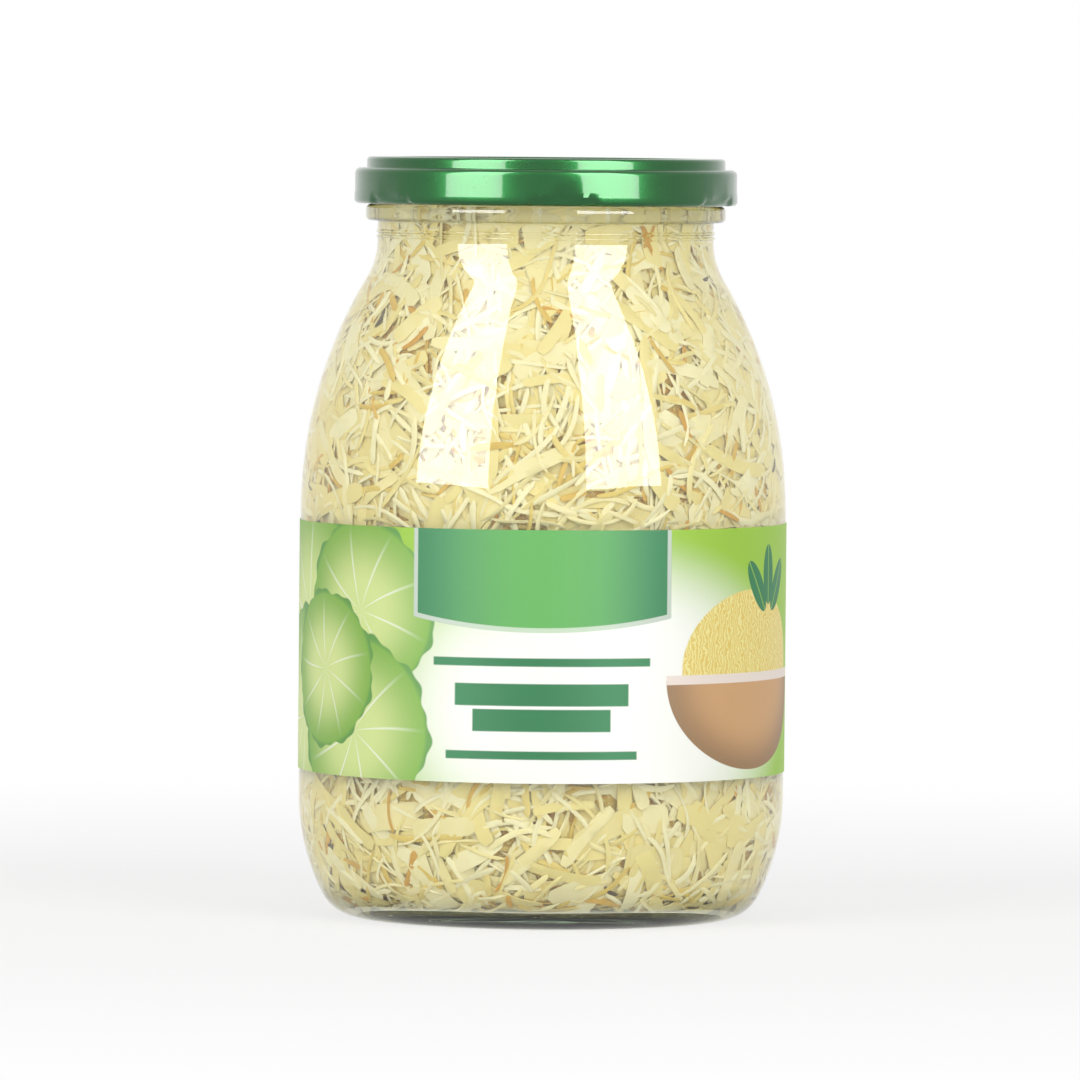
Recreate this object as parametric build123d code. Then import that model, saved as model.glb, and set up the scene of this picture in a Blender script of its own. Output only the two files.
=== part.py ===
"""A twist-off jar of sauerkraut: glass, paper label, metal lid and packed contents.

Millimetres, +Z up. The origin is the middle of the foot, on the surface the jar stands on, and
the label's front faces -Y. Every piece is turned about the Z axis from an outline in (r, z).
"""

from build123d import *

import os
from math import asin, cos, degrees, pi, sin, sqrt

# Glass body: outside, from the foot's small curve and the long heel curve up to the neck.
BODY_RADIUS = 53.2
HEEL_TOP = 27.0  # where the heel curve ends and the straight wall starts
BODY_TOP = 89.0  # where the straight wall ends and the shoulder starts
HEEL_CURVE = 49.0
FOOT_CURVE = 8.8
FOOT_LAND = 2.4  # width of the flat ring that the jar stands on
PUSH_UP = 3.2  # how far the middle of the underside is raised
SHOULDER_CURVE = 99.0
NECK_CURVE = 16.5
NECK_RADIUS = 36.8

# Glass body: inside.
WALL = 2.6
FLOOR = 4.6  # glass under the lowest ring of the inside
FLOOR_RISE = 2.2  # how far the inner floor rises to its middle
FLOOR_CORNER = 8.0

# Neck and finish: fine mould rings, a round bead, thread ridges and the sealing rim.
NECK_LENGTH = 4.0
RING_COUNT = 2
RING_START = 0.6
RING_PITCH = 1.1
RING_SECTION = 0.45  # radius of a ring's round section
RING_HEIGHT = 0.3  # how far a ring stands out of the neck
BEAD_HEIGHT = 3.6
BEAD_DEPTH = 2.6
BEAD_ROUND = 1.1
FINISH_STEP = 1.2  # how much wider the finish is than the neck
THREAD_HEIGHT = 2.2
THREAD_DEPTH = 1.7
THREAD_ROUND = 0.7
THREAD_SPAN = 34.0  # degrees of each thread ridge
RIM_ABOVE_THREAD = 5.8
RIM_ROUND = 1.2

# Lid: one sheet of steel with a button, a panel, a channel that seals on the rim, a step and a skirt.
SHEET = 0.25
SHEET_ROUND = 0.8
BUTTON_RADIUS = 15.0
BUTTON_RISE = 0.7
BUTTON_SLOPE = 1.6
PANEL_DROP = 1.5
CHANNEL_CLEARANCE = 1.0  # between the rim and the channel's sides
STEP_DROP = 2.4  # from the top of the channel down to the step above the skirt
SKIRT_CLEARANCE = 2.0  # between the thread ridges and the skirt
CURL_WIDTH = 2.0
CURL_HEIGHT = 2.5
CURL_ROUND = 0.9
LID_ABOVE_BEAD = 0.1

# Lugs in the curl, which hook under the thread ridges, and the dents that they leave outside.
LUG_COUNT = 6
LUG_WIDTH = 12.0
LUG_HEIGHT = 1.5
LUG_REACH = 1.1  # how far a lug hooks in past the face of its thread ridge
LUG_ABOVE_BEAD = 0.5
LUG_GRIP = 0.1  # clearance between a lug and its thread ridge
LUG_TURN = 5.0  # degrees from the label's front to the nearest lug
DENT_DEPTH = 0.7
DENT_WIDTH = 16.0
DENT_RISE = 2.0

# Label: a paper band round the straight wall, lapped over itself at the back.
PAPER = 0.15
LABEL_ABOVE_HEEL = 5.4
LABEL_BELOW_SHOULDER = 2.2
LABEL_LAP = 12.0

# Contents: shredded cabbage in its brine, packed against the glass.
HEADSPACE = 5.2  # from the sealing rim down to the contents

# Places in (r, z) worked out from the sizes above.
heel_centre = (BODY_RADIUS - HEEL_CURVE, HEEL_TOP)
shoulder_centre = (BODY_RADIUS - SHOULDER_CURVE, BODY_TOP)
neck_reach = NECK_RADIUS + NECK_CURVE - shoulder_centre[0]
neck_bottom = BODY_TOP + sqrt((SHOULDER_CURVE + NECK_CURVE) ** 2 - neck_reach**2)
neck_centre = (NECK_RADIUS + NECK_CURVE, neck_bottom)
shoulder_angle = asin((neck_bottom - BODY_TOP) / (SHOULDER_CURVE + NECK_CURVE))
mouth_radius = NECK_RADIUS - WALL
finish_radius = NECK_RADIUS + FINISH_STEP
thread_radius = finish_radius + THREAD_DEPTH
bead_bottom = neck_bottom + NECK_LENGTH
bead_top = bead_bottom + BEAD_HEIGHT
lug_bottom = bead_top + LUG_ABOVE_BEAD
lug_top = lug_bottom + LUG_HEIGHT
thread_bottom = lug_top + LUG_GRIP
rim_top = thread_bottom + THREAD_HEIGHT + RIM_ABOVE_THREAD
lid_bottom = bead_top + LID_ABOVE_BEAD
skirt_radius = thread_radius + SKIRT_CLEARANCE + SHEET


def arc(centre, radius, start, end):
    """An arc between two angles in radians, measured from +r towards +z."""
    angles = (start, (start + end) / 2, end)
    return ThreePointArc(*((centre[0] + radius * cos(a), centre[1] + radius * sin(a)) for a in angles))


def dome(edge, rise):
    """An arc that is level on the axis, at rise above edge, and comes down to edge."""
    radius = (edge[0] ** 2 + rise**2) / (2 * rise)
    centre = (0, edge[1] + rise - radius)
    return arc(centre, radius, pi / 2, asin((edge[1] - centre[1]) / radius))


def lower_curves(inset, base, corner):
    """The corner and heel arcs of a face set in from the outside, and where the corner meets its base."""
    heel = HEEL_CURVE - inset
    drop = HEEL_TOP - base - corner
    centre = (heel_centre[0] + sqrt((heel - corner) ** 2 - drop**2), base + corner)
    lean = -asin(drop / (heel - corner))
    return [arc(centre, corner, -pi / 2, lean), arc(heel_centre, heel, lean, 0)], (centre[0], base)


def upper_curves(inset):
    """The straight wall, the shoulder arc and the neck arc of a face set in from the outside."""
    radius = BODY_RADIUS - inset
    shoulder = arc(shoulder_centre, SHOULDER_CURVE - inset, 0, shoulder_angle)
    neck = arc(neck_centre, NECK_CURVE + inset, pi + shoulder_angle, pi)
    return [Line((radius, HEEL_TOP), (radius, BODY_TOP)), shoulder, neck]


def inside_outline(top):
    """The inside face of the glass, from the middle of its floor up to a height in the mouth."""
    curves, corner = lower_curves(WALL, FLOOR, FLOOR_CORNER)
    mouth = Line((mouth_radius, neck_bottom), (mouth_radius, top))
    return [dome(corner, FLOOR_RISE), *curves, *upper_curves(WALL), mouth]


def turned(profile, angle=360.0):
    """A profile in (r, z) turned about the Z axis, centred on the +X side."""
    return Rot(0, 0, -angle / 2) * revolve(Plane.XZ * profile, Axis.Z, angle)


def block(inner, outer, bottom, top, rounding):
    """A rectangle between two radii and two heights, with its corners rounded."""
    width = outer - inner
    height = top - bottom
    rounding = min(rounding, 0.49 * width, 0.49 * height)
    return Pos((inner + outer) / 2, (bottom + top) / 2) * RectangleRounded(width, height, rounding)


def lug_places():
    """A turn from the +X side to each lug, the first one beside the label's front."""
    return [Rot(0, 0, -90 + LUG_TURN + i * 360 / LUG_COUNT) for i in range(LUG_COUNT)]


def glass_profile():
    """The glass wall with its mould rings, bead and rim, in (r, z)."""
    foot, foot_edge = lower_curves(0, 0, FOOT_CURVE)
    land_edge = (foot_edge[0] - FOOT_LAND, 0)
    shelf = rim_top - RIM_ROUND
    outside = [dome(land_edge, PUSH_UP), Line(land_edge, foot_edge), *foot, *upper_curves(0)]
    closing = [
        Line((NECK_RADIUS, neck_bottom), (NECK_RADIUS, shelf)),
        Line((NECK_RADIUS, shelf), (mouth_radius, shelf)),
        Line((0, PUSH_UP), (0, FLOOR + FLOOR_RISE)),
    ]
    profile = make_face([*outside, *inside_outline(shelf), *closing])
    profile += block(mouth_radius, NECK_RADIUS + BEAD_DEPTH, bead_bottom, bead_top, BEAD_ROUND)
    profile += block(mouth_radius, finish_radius, bead_bottom + BEAD_ROUND, rim_top, RIM_ROUND)
    for i in range(RING_COUNT):
        height = neck_bottom + RING_START + i * RING_PITCH
        profile += Pos(NECK_RADIUS + RING_HEIGHT - RING_SECTION, height) * Circle(RING_SECTION)
    return profile


def glass_jar():
    """The hollow jar, with a thread ridge over each lug."""
    jar = turned(glass_profile())
    ridge = block(mouth_radius, thread_radius, thread_bottom, thread_bottom + THREAD_HEIGHT, THREAD_ROUND)
    for place in lug_places():
        jar += place * turned(ridge, THREAD_SPAN)
    return jar


def lid_sheet():
    """The sheet of the lid in (r, z), from the middle of the button down to the curl."""
    half = SHEET / 2
    top = rim_top + half
    panel = top - PANEL_DROP
    channel = (mouth_radius - CHANNEL_CLEARANCE - half, finish_radius + CHANNEL_CLEARANCE + half)
    skirt = skirt_radius - half
    points = [
        (0, panel + BUTTON_RISE),
        (BUTTON_RADIUS, panel + BUTTON_RISE),
        (BUTTON_RADIUS + BUTTON_SLOPE, panel),
        (channel[0], panel),
        (channel[0], top),
        (channel[1], top),
        (channel[1], top - STEP_DROP),
        (skirt, top - STEP_DROP),
        (skirt, lid_bottom + CURL_HEIGHT / 2),
    ]
    side = min(SHEET_ROUND, 0.49 * PANEL_DROP)
    step = min(SHEET_ROUND, 0.49 * STEP_DROP, 0.49 * (skirt - channel[1]))
    gentle = 0.4 * BUTTON_SLOPE
    return trace(FilletPolyline(*points, radius=[gentle, gentle, side, side, step, step, step]), SHEET)


def lid():
    """The pressed lid: the sheet, the curl at its foot, the lugs and their dents."""
    curl = block(skirt_radius - CURL_WIDTH, skirt_radius, lid_bottom, lid_bottom + CURL_HEIGHT, CURL_ROUND)
    cap = turned(lid_sheet() + curl)
    lug = block(thread_radius - LUG_REACH, skirt_radius - SHEET, lug_bottom, lug_top, LUG_HEIGHT / 4)
    lug_angle = degrees(LUG_WIDTH / skirt_radius)
    dent_curve = (DENT_WIDTH**2 / 4 + DENT_RISE**2) / (2 * DENT_RISE)
    dent_face = Plane.YZ.offset(skirt_radius - DENT_DEPTH) * Pos(0, lid_bottom + DENT_RISE - dent_curve)
    dent = extrude(dent_face * Circle(dent_curve), DENT_DEPTH)
    for place in lug_places():
        cap = cap + place * turned(lug, lug_angle) - place * dent
    return cap


def label():
    """The paper band, with its end lapped over its start at the back."""
    bottom = HEEL_TOP + LABEL_ABOVE_HEEL
    height = BODY_TOP - LABEL_BELOW_SHOULDER - bottom
    band = Pos(BODY_RADIUS + PAPER / 2, bottom + height / 2) * Rectangle(PAPER, height)
    lap = Rot(0, 0, 90) * turned(Pos(PAPER, 0) * band, degrees(LABEL_LAP / BODY_RADIUS))
    return turned(band) + lap


def sauerkraut():
    """The packed contents, from the floor of the jar up to the headspace."""
    top = rim_top - HEADSPACE
    level = Line((mouth_radius, top), (0, top))
    axis = Line((0, top), (0, FLOOR + FLOOR_RISE))
    return turned(make_face([*inside_outline(top), level, axis]))


if __name__ == "__main__":
    os.makedirs("parts", exist_ok=True)
    export_step(glass_jar(), "parts/glass_jar.step")
    export_step(lid(), "parts/lid.step")
    export_step(label(), "parts/label.step")
    export_step(sauerkraut(), "parts/sauerkraut.step")
    print(f"neck {neck_bottom:.2f}, lid {lid_bottom:.2f} to {rim_top + SHEET:.2f}, skirt {skirt_radius:.2f}")
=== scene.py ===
"""The looks of a jar of sauerkraut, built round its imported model.

Glass, brine, cabbage, label and lid are each modelled as their own pieces, in metres, with the
jar standing on z = 0 and the label's front facing -Y.
"""

from math import asin, atan2, cos, degrees, hypot, pi, radians, sin, sqrt, tan

import bpy
import numpy as np
from bpy.props import FloatProperty, FloatVectorProperty, IntProperty, PointerProperty
from mathutils import Euler, Matrix, Vector


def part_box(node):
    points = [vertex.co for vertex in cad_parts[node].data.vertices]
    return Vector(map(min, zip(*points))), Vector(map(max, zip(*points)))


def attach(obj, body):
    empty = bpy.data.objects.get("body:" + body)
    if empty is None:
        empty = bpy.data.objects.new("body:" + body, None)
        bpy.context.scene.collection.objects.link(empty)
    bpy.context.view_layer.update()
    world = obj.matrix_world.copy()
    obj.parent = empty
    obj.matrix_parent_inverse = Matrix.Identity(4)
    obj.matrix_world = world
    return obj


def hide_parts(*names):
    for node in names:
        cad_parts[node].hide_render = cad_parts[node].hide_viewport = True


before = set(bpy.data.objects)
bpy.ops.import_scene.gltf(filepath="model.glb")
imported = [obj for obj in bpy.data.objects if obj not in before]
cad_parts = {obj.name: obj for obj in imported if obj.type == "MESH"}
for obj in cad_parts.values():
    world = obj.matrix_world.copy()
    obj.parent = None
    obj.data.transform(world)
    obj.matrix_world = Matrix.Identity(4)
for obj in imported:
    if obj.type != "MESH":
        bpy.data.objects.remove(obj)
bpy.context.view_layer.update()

bl_info = {
    "name": "Jar of Sauerkraut",
    "version": (1, 0, 0),
    "blender": (4, 5, 0),
    "location": "3D View > Sidebar > Jar",
    "description": "Models a twist-off jar of sauerkraut with its label, brine and shreds",
    "category": "Object",
}

MM = 0.001

# Steps along the arcs of an outline.
CORNER_STEPS = 10
HEEL_STEPS = 20
SHOULDER_STEPS = 24
NECK_STEPS = 10
DOME_STEPS = 16
FILL_DOME_STEPS = 12
CURL_STEPS = 20
ROUND_STEP = 15

# Samples of the wall, and of each shred's bend.
WALL_STEPS = 32
WALL_SAMPLES = 4000
BEND_SAMPLES = 9

# Distances in the packing of the jar.
BRINE_OVERLAP = 0.04 * MM
GLASS_GAP = 0.01 * MM
LABEL_EDGE = 5 * MM
AXIS_CLEAR = 6 * MM
WAVE_LENGTH = 2.2 * MM

# The lamps' distance, foot and top, and the floor's width, in metres.
LAMP_FAR = 1.5
LAMP_LOW = 0.24
LAMP_HIGH = 2.6
FLOOR_WIDTH = 12

# The print, in millimetres from the middle of the label's foot: each bar's middle, half height and
# half width, and each leaf's middle, radius and turn.
GLOW_MIDDLE = (14.0, 16.0)
GLOW_REACH = (52.0, 34.0)
BARS = ((26.0, 0.9, 24.0), (19.0, 2.4, 19.0), (13.5, 2.4, 15.0), (6.0, 0.9, 21.0))
LEAVES = (
    (-66.0, 34.0, 25.0, 2.2),
    (-44.0, 36.0, 20.0, 0.9),
    (-70.0, 12.0, 24.0, -2.4),
    (-46.0, 10.0, 21.0, -0.7),
    (-57.0, 23.0, 17.0, 1.5),
)
BOWL_MIDDLE = 54.0
BOWL_TOP = 22.0
BOWL_REACH = (26.0, 20.0)
HEAP_MIDDLE = 24.0
HEAP_REACH = (22.0, 17.0)

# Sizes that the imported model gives.
jar_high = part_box("glass_jar")[1]
lid_low, lid_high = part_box("lid")
label_low, label_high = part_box("label")
fill_low, fill_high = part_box("sauerkraut")
body_radius = jar_high.x
rim_top = jar_high.z
wall = jar_high.x - fill_high.x
floor_height = fill_low.z
fill_top = fill_high.z
lid_bottom = lid_low.z
lid_top = lid_high.z
skirt_radius = lid_high.x
paper = label_high.x - body_radius


def length(name, millimetres, description):
    """A length property with its default in millimetres."""
    return FloatProperty(
        name=name, description=description, default=millimetres * MM, min=0, precision=5,
        subtype="DISTANCE", unit="LENGTH",
    )


def angle(name, turn, description):
    """An angle property with its default in degrees."""
    return FloatProperty(
        name=name, description=description, default=radians(turn), subtype="ANGLE", unit="ROTATION",
    )


def share(name, default, description):
    """A plain factor."""
    return FloatProperty(name=name, description=description, default=default, precision=3)


def count(name, default, description):
    """A whole number of things."""
    return IntProperty(name=name, description=description, default=default, min=0)


def colour(name, red, green, blue, description):
    """A colour property whose default is written as it looks on a screen, from 0 to 255."""
    shares = [part / 255 for part in (red, green, blue)]
    linear = [c / 12.92 if c <= 10 / 255 else ((c + 0.055) / 1.055) ** 2.4 for c in shares]
    return FloatVectorProperty(
        name=name, description=description, default=linear, size=3, min=0, max=1, subtype="COLOR",
    )


class JarGlassSizes(bpy.types.PropertyGroup):
    """Sizes of the glass that its box does not give."""

    heel_top: length("Heel top", 27.0, "Height where the straight wall starts")
    body_top: length("Body top", 89.0, "Height where the shoulder starts")
    heel_curve: length("Heel curve", 49.0, "Radius of the long heel curve")
    foot_curve: length("Foot curve", 8.8, "Radius of the small curve at the foot")
    foot_land: length("Foot land", 2.4, "Width of the flat ring that the jar stands on")
    push_up: length("Push-up", 3.2, "How far the middle of the underside is raised")
    shoulder_curve: length("Shoulder curve", 99.0, "Radius of the shoulder")
    neck_curve: length("Neck curve", 16.5, "Radius of the curve from shoulder to neck")
    neck_radius: length("Neck radius", 36.8, "Radius of the outside of the neck")
    floor_rise: length("Floor rise", 2.2, "How far the inner floor rises to its middle")
    floor_corner: length("Floor corner", 8.0, "Radius of the inner corner of the floor")
    ring_count: count("Mould rings", 2, "Fine rings round the neck")
    ring_start: length("First ring", 0.6, "Height of the first ring above the neck's start")
    ring_pitch: length("Ring pitch", 1.1, "Distance from ring to ring")
    ring_width: length("Ring width", 0.8, "Width of a ring")
    ring_height: length("Ring height", 0.3, "How far a ring stands out")
    neck_length: length("Neck length", 4.0, "Height of the neck below the bead")
    bead_height: length("Bead height", 3.6, "Height of the round bead under the lid")
    bead_depth: length("Bead depth", 2.6, "How far the bead stands out of the neck")
    bead_round: length("Bead round", 1.1, "Radius of the bead's corners")
    finish_step: length("Finish step", 1.2, "How much wider the finish is than the neck")
    rim_round: length("Rim round", 1.2, "Radius of the sealing rim's corners")
    thread_bottom: length("Thread bottom", 8.1, "Depth of a ridge's lower side below the rim")
    thread_height: length("Thread height", 2.2, "Height of a thread ridge")
    thread_depth: length("Thread depth", 1.7, "How far a thread ridge stands out")
    thread_span: angle("Thread span", 34.0, "How far round each thread ridge runs")
    lug_turn: angle("Lug turn", 5.0, "Turn from the label's front to the nearest lug")
    turn_steps: count("Turn steps", 192, "Steps round the axis")


class JarLidSizes(bpy.types.PropertyGroup):
    """Sizes of the lid that its box does not give."""

    sheet: length("Sheet", 0.25, "Thickness of the steel")
    button_radius: length("Button radius", 15.0, "Radius of the button in the middle")
    button_rise: length("Button rise", 0.7, "Height of the button")
    button_slope: length("Button slope", 1.6, "Width of the button's sloping side")
    panel_drop: length("Panel drop", 1.5, "Depth of the panel inside the channel")
    channel_inner: length("Channel inner", 33.2, "Inner radius of the channel over the rim")
    channel_outer: length("Channel outer", 39.25, "Outer radius of the channel over the rim")
    step_drop: length("Step drop", 2.4, "Height of the step below the channel")
    sheet_round: length("Sheet round", 0.7, "Radius of the pressed corners")
    shoulder_round: length("Shoulder round", 1.1, "Radius of the corner at the top of the skirt")
    curl_radius: length("Curl radius", 0.85, "Radius of the rolled edge")
    curl_bulge: length("Curl bulge", 0.12, "How far the rolled edge stands out of the skirt")
    curl_turn: angle("Curl turn", 300.0, "How far round the edge is rolled")
    lug_count: count("Lugs", 6, "Lugs in the rolled edge")
    lug_width: length("Lug width", 12.0, "Width of a lug")
    lug_reach: length("Lug reach", 1.5, "How far a lug is pressed in")
    dent_depth: length("Dent depth", 0.75, "Depth of the dent outside a lug")
    dent_width: length("Dent width", 17.0, "Width of the dent outside a lug")
    dent_rise: length("Dent rise", 2.3, "Height of the arched dent outside a lug")


class JarLabelSizes(bpy.types.PropertyGroup):
    """Sizes of the label's lap and print."""

    lap: length("Lap", 12.0, "How far the paper laps over its own start")
    panel_half: length("Panel half width", 29.0, "Half the width of the dark panel at the front")
    panel_drop: length("Panel drop", 22.0, "Height of the dark panel from the label's top")


class JarShredSizes(bpy.types.PropertyGroup):
    """How the cabbage is cut and packed."""

    seed: count("Seed", 7, "Start of the random placing")
    core_depth: length("Core depth", 1.9, "Thickness of the loose shreds round the core")
    fine_count: count("Fine shreds", 2300, "Fine shreds of each of two tones against the glass")
    broad_count: count("Broad shreds", 1500, "Broader strips of leaf")
    flake_count: count("Leaf pieces", 650, "Thin wide pieces of leaf")
    amber_count: count("Amber shreds", 900, "Shreds that have browned in the brine")
    seed_count: count("Seeds", 16, "Caraway seeds")


class JarColours(bpy.types.PropertyGroup):
    """Colours of the pieces."""

    lacquer: colour("Lacquer", 0, 92, 32, "Lid")
    pale: colour("Pale cabbage", 248, 240, 196, "Palest shreds")
    cream: colour("Cream cabbage", 240, 224, 150, "Most shreds")
    straw: colour("Straw cabbage", 228, 200, 100, "Deeper shreds")
    amber: colour("Amber cabbage", 214, 158, 52, "Browned shreds and gaps")
    seed: colour("Seed", 92, 78, 40, "Caraway seeds")
    lime: colour("Lime", 152, 198, 52, "Label ground")
    white: colour("Paper white", 250, 251, 244, "Unprinted paper")
    deep: colour("Deep green", 20, 118, 66, "Sides of the dark panel")
    mid: colour("Mid green", 95, 178, 86, "Middle of the dark panel")
    leaf: colour("Leaf green", 126, 176, 66, "Leaf edges")
    leaf_pale: colour("Pale leaf", 214, 230, 150, "Leaf middles")
    tan: colour("Tan", 205, 160, 110, "Bowl")
    mound: colour("Mound", 240, 228, 150, "Heap in the bowl")


class JarStageSizes(bpy.types.PropertyGroup):
    """Camera and light."""

    distance: length("Camera distance", 2300.0, "From the camera to the jar's axis")
    camera_height: length("Camera height", 178.0, "Height of the camera")
    aim_height: length("Aim height", 82.5, "Height of the point that the camera looks at")
    aim_side: length("Aim side", 0.66, "How far to the left of the axis the camera looks")
    lens: share("Lens", 350.0, "Focal length in millimetres on a 36 mm sensor")
    roll: angle("Roll", 0.5, "Turn of the camera about its line of sight")
    lamp_strength: share("Lamp strength", 2.15, "Brightness of the soft lamps, where 1 is white")
    card_strength: share("Card strength", 12.0, "Brightness of the lamps in the glass")
    fill_strength: share("Fill strength", 0.5, "Brightness of the light from all round")


# ---------------------------------------------------------------- modelling helpers


def deselect():
    """Leaves nothing selected, in object mode."""
    if bpy.context.object and bpy.context.object.mode != "OBJECT":
        bpy.ops.object.mode_set(mode="OBJECT")
    bpy.ops.object.select_all(action="DESELECT")


def pick(piece):
    """Makes a piece the active one, and the only one selected."""
    deselect()
    bpy.context.view_layer.objects.active = piece
    piece.select_set(True)


def thicken(piece, name, thickness):
    """Gives a sheet its thickness, half of it on each side."""
    pick(piece)
    solid = piece.modifiers.new(name, "SOLIDIFY")
    solid.thickness = thickness
    solid.offset = 0
    bpy.ops.object.modifier_apply(modifier=solid.name)


def points_of(mesh):
    """The mesh's vertices as an array."""
    places = np.empty(len(mesh.vertices) * 3)
    mesh.vertices.foreach_get("co", places)
    return places.reshape(-1, 3)


def move_points(mesh, places):
    """Puts the mesh's vertices at these places."""
    mesh.vertices.foreach_set("co", places.ravel())
    mesh.update()


def off_mark(places, marks, turn):
    """Each point's angle from the nearest of several marks spaced evenly round the jar."""
    pitch = 2 * pi / marks
    around = np.arctan2(places[:, 1], places[:, 0]) + pi / 2 - turn
    return (around + pitch / 2) % pitch - pitch / 2


def finish_piece(piece, material, body="root", smooth=40.0):
    """Smooths a finished piece, gives it its material and rides it on its body."""
    pick(piece)
    bpy.ops.object.shade_smooth_by_angle(angle=radians(smooth))
    piece.data.materials.clear()
    piece.data.materials.append(material)
    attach(piece, body)
    return piece


class Section:
    """An outline in the XZ plane, drawn point by point and then turned about the Z axis."""

    def __init__(self, name, x, z):
        deselect()
        bpy.ops.mesh.primitive_plane_add(size=MM, location=(0, 0, 0))
        self.piece = bpy.context.object
        self.piece.name = name
        self.piece.data.name = name
        bpy.ops.object.mode_set(mode="EDIT")
        bpy.ops.mesh.merge(type="CENTER")
        bpy.ops.transform.translate(value=(x, 0, z))
        self.at = (x, z)

    def line(self, x, z):
        """A straight run to a point."""
        if hypot(x - self.at[0], z - self.at[1]) < 1e-7:
            return
        step = (x - self.at[0], 0, z - self.at[1])
        bpy.ops.mesh.extrude_vertices_move(TRANSFORM_OT_translate={"value": step})
        self.at = (x, z)

    def arc(self, centre, sweep, steps):
        """A run round a centre, by an angle that is positive from +X towards +Z."""
        middle = (centre[0], 0, centre[1])
        bpy.ops.mesh.spin(steps=steps, angle=sweep, center=middle, axis=(0, 1, 0))
        x, z = self.at[0] - centre[0], self.at[1] - centre[1]
        self.at = (
            centre[0] + x * cos(sweep) - z * sin(sweep),
            centre[1] + x * sin(sweep) + z * cos(sweep),
        )

    def route(self, points):
        """Straight runs through (x, z, round) points, with an arc where a corner has a round."""
        for here, after in zip(points, [*points[1:], None]):
            if after is None or not here[2]:
                self.line(here[0], here[1])
                continue
            inward = Vector((here[0] - self.at[0], here[1] - self.at[1])).normalized()
            outward = Vector((after[0] - here[0], after[1] - here[1])).normalized()
            turn = atan2(inward.x * outward.y - inward.y * outward.x, inward.dot(outward))
            back = here[2] * tan(abs(turn) / 2)
            start = (here[0] - inward.x * back, here[1] - inward.y * back)
            side = 1 if turn > 0 else -1
            centre = (start[0] - side * inward.y * here[2], start[1] + side * inward.x * here[2])
            self.line(*start)
            self.arc(centre, turn, max(2, round(abs(degrees(turn)) / ROUND_STEP)))

    def turned(self, steps):
        """Turns the outline into a closed skin and returns the piece."""
        bpy.ops.mesh.select_all(action="SELECT")
        bpy.ops.mesh.spin(steps=steps, angle=2 * pi, center=(0, 0, 0), axis=(0, 0, 1))
        bpy.ops.mesh.select_all(action="SELECT")
        bpy.ops.mesh.remove_doubles(threshold=1e-7)
        bpy.ops.mesh.normals_make_consistent(inside=False)
        bpy.ops.object.mode_set(mode="OBJECT")
        return self.piece


# ---------------------------------------------------------------- the jar's curves


class Curves:
    """The arcs of the glass, worked out from its sizes, for a face set in from the outside."""

    def __init__(self, sizes):
        self.sizes = sizes
        self.heel = (body_radius - sizes.heel_curve, sizes.heel_top)
        self.shoulder = (body_radius - sizes.shoulder_curve, sizes.body_top)
        reach = sizes.neck_radius + sizes.neck_curve - self.shoulder[0]
        both = sizes.shoulder_curve + sizes.neck_curve
        self.neck_bottom = sizes.body_top + sqrt(both**2 - reach**2)
        self.neck = (sizes.neck_radius + sizes.neck_curve, self.neck_bottom)
        self.lean = asin((self.neck_bottom - sizes.body_top) / both)
        self.mouth = sizes.neck_radius - wall

    def corner(self, inset, base, corner):
        """The corner arc's centre and the angle where it meets the heel arc."""
        heel = self.sizes.heel_curve - inset
        drop = self.sizes.heel_top - base - corner
        centre = (self.heel[0] + sqrt((heel - corner) ** 2 - drop**2), base + corner)
        return centre, -asin(drop / (heel - corner))

    def climb(self, section, inset, base, corner, top=None):
        """Draws from the start of the corner arc up to the start of the neck, and on to a top."""
        centre, lean = self.corner(inset, base, corner)
        section.arc(centre, pi / 2 + lean, CORNER_STEPS)
        section.arc(self.heel, -lean, HEEL_STEPS)
        section.line(body_radius - inset, self.sizes.body_top)
        section.arc(self.shoulder, self.lean, SHOULDER_STEPS)
        section.arc(self.neck, -self.lean, NECK_STEPS)
        if top is not None:
            section.line(self.sizes.neck_radius - inset, top)

    def descend(self, section, inset, base, corner):
        """Draws the inside from the mouth down to the start of the corner arc."""
        centre, lean = self.corner(inset, base, corner)
        section.line(self.sizes.neck_radius - inset, self.neck_bottom)
        section.arc(self.neck, self.lean, NECK_STEPS)
        section.arc(self.shoulder, -self.lean, SHOULDER_STEPS)
        section.line(body_radius - inset, self.sizes.heel_top)
        section.arc(self.heel, lean, HEEL_STEPS)
        section.arc(centre, -pi / 2 - lean, CORNER_STEPS)


def dome_centre(edge, rise):
    """Centre of the arc that is level on the axis, at rise above edge, and comes down to edge."""
    return (0, edge[1] + rise - (edge[0] ** 2 + rise**2) / (2 * rise))


def dome_angle(edge, rise):
    """The angle that such an arc turns through."""
    centre = dome_centre(edge, rise)
    return atan2(edge[0], edge[1] - centre[1])


# ---------------------------------------------------------------- shader helpers


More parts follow.
